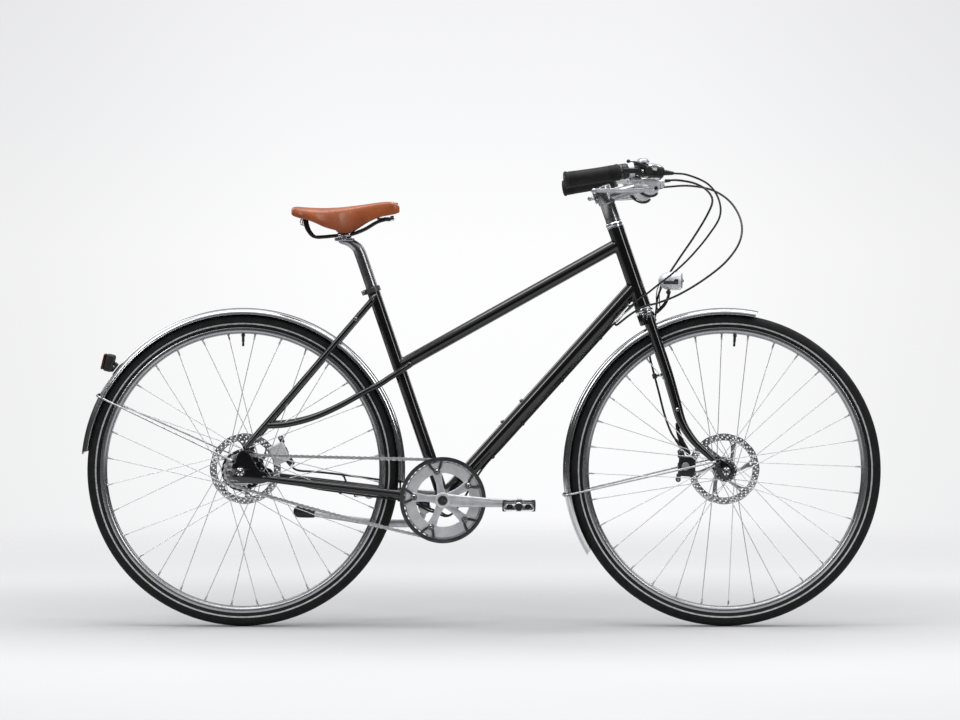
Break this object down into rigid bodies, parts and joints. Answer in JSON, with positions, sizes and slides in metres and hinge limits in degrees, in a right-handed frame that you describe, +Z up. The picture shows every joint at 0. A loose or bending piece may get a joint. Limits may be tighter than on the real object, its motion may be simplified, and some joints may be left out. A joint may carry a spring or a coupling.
{
  "type": "commuter bike",
  "caption": "Commuter bike with a sloping twin-stay frame, mudguards, disc brakes, hub gear, swept handlebar, leather saddle, lights and kickstand.",
  "frame": {"origin": "middle of the overall length and width, on the floor under the tyres", "axes": "+X towards the front wheel, +Y to the left side, away from the chain, +Z up"},
  "size_m": [1.7892, 0.6238, 1.0425],
  "materials": {
    "frame_paint": "gloss black paint",
    "polished": "polished",
    "satin": "satin",
    "chrome": "bright chrome",
    "steel": "bright steel",
    "black_metal": "satin black",
    "black_plastic": "matt",
    "tyre": "matt with a grey reflective line",
    "grip": "ribbed rubber",
    "leather": "honey brown, waxed",
    "lens": "clear"
  },
  "bodies": {
    "frame": {"head_and_top_tube": "frame_paint", "down_tube": "frame_paint", "seat_tube": "frame_paint", "seat_stays": "frame_paint", "side_stays": "frame_paint", "chain_stays": "frame_paint", "headset_upper_cup": "polished", "headset_lower_cup": "polished", "seat_clamp": "satin", "bottom_bracket": "satin", "rear_axle": "satin", "rear_mudguard": "polished", "rear_mudguard_stay": "polished", "rear_light": "black_plastic", "rear_brake_caliper": "black_metal", "rear_brake_hose": "black_plastic", "shift_cable": "black_plastic", "chain": "steel"},
    "kickstand": {"kickstand_leg": "polished"},
    "steering": {"fork": "frame_paint", "stem": "polished", "handlebar": "polished", "grip_right": "grip", "grip_left": "grip", "brake_lever_body_right": "polished", "brake_lever_body_left": "polished", "shifter_body": "black_plastic", "bell": "satin", "headlight": "chrome", "headlight_lens": "lens", "front_mudguard": "polished", "front_mudguard_stay": "polished", "front_brake_caliper": "black_metal", "front_axle": "satin", "front_brake_hose": "black_plastic"},
    "brake_lever_right": {"brake_lever_right": "polished"},
    "brake_lever_left": {"brake_lever_left": "polished"},
    "shifter_lever": {"shifter_lever": "black_plastic"},
    "bell_striker": {"bell_striker": "black_metal"},
    "front_wheel": {"front_tyre": "tyre", "front_rim": "polished", "front_spokes_right": "steel", "front_spokes_left": "steel", "front_hub": "satin", "front_rotor": "steel"},
    "rear_wheel": {"rear_tyre": "tyre", "rear_rim": "polished", "rear_spokes_right": "steel", "rear_spokes_left": "steel", "rear_hub": "black_metal", "rear_rotor": "steel"},
    "sprocket": {"sprocket": "steel"},
    "crank": {"crank_right": "polished", "chainring": "satin", "crank_left": "polished"},
    "pedal_right": {"pedal_right": "polished"},
    "pedal_left": {"pedal_left": "polished"},
    "seatpost": {"seatpost": "polished", "saddle_leather": "leather", "saddle_rails": "black_metal"}
  },
  "joints": [
    {"name": "steering", "type": "hinge", "parent": "frame", "child": "steering", "pos_m": [0.33149, 0, 0.8027], "axis": [-0.3256, 0, 0.9455], "range_deg": [-75, 75], "deforming": ["rear_brake_hose", "shift_cable"]},
    {"name": "front_wheel_spin", "type": "hinge", "parent": "steering", "child": "front_wheel", "pos_m": [0.5456, 0, 0.349], "axis": [0, 1, 0], "continuous": true},
    {"name": "rear_wheel_spin", "type": "hinge", "parent": "frame", "child": "rear_wheel", "pos_m": [-0.5334, 0, 0.349], "axis": [0, 1, 0], "continuous": true},
    {"name": "crank_spin", "type": "hinge", "parent": "frame", "child": "crank", "pos_m": [-0.0844, 0, 0.285], "axis": [0, 1, 0], "continuous": true},
    {"name": "sprocket_spin", "type": "hinge", "parent": "frame", "child": "sprocket", "pos_m": [-0.5334, -0.052, 0.349], "axis": [0, 1, 0], "continuous": true},
    {"name": "pedal_right_spin", "type": "hinge", "parent": "crank", "child": "pedal_right", "pos_m": [0.08541, -0.12, 0.27699], "axis": [0, 1, 0], "continuous": true},
    {"name": "pedal_left_spin", "type": "hinge", "parent": "crank", "child": "pedal_left", "pos_m": [-0.25421, 0.12, 0.29301], "axis": [0, 1, 0], "continuous": true},
    {"name": "kickstand_fold", "type": "hinge", "parent": "frame", "child": "kickstand", "pos_m": [-0.1294, 0.047, 0.262], "axis": [0.2577, -0.9475, -0.1895], "range_deg": [0, 74]},
    {"name": "seatpost_slide", "type": "slide", "parent": "frame", "child": "seatpost", "axis": [-0.3216, 0, 0.9469], "range_m": [-0.06, 0.06]},
    {"name": "brake_lever_right_pull", "type": "hinge", "parent": "steering", "child": "brake_lever_right", "pos_m": [0.3736, -0.262, 0.97], "axis": [-0.2239, 0.6809, -0.6973], "range_deg": [0, 7], "stiffness_Nm_per_rad": 0.6, "springref_deg": -14.32},
    {"name": "brake_lever_left_pull", "type": "hinge", "parent": "steering", "child": "brake_lever_left", "pos_m": [0.3736, 0.262, 0.97], "axis": [0.2239, 0.6809, 0.6973], "range_deg": [0, 7], "stiffness_Nm_per_rad": 0.6, "springref_deg": -14.32},
    {"name": "shifter_lever_push", "type": "hinge", "parent": "steering", "child": "shifter_lever", "pos_m": [0.3666, -0.292, 1.01], "axis": [0, 1, 0], "range_deg": [-22, 0], "stiffness_Nm_per_rad": 0.05, "springref_deg": 11.46},
    {"name": "bell_striker_flick", "type": "hinge", "parent": "steering", "child": "bell_striker", "pos_m": [0.3361, -0.255, 1.031], "axis": [0, 0, 1], "range_deg": [-25, 0], "stiffness_Nm_per_rad": 0.02, "springref_deg": 11.46}
  ],
  "couplings": [
    {"joint": "sprocket_spin", "follows": "crank_spin", "ratio": 2.4444}
  ]
}
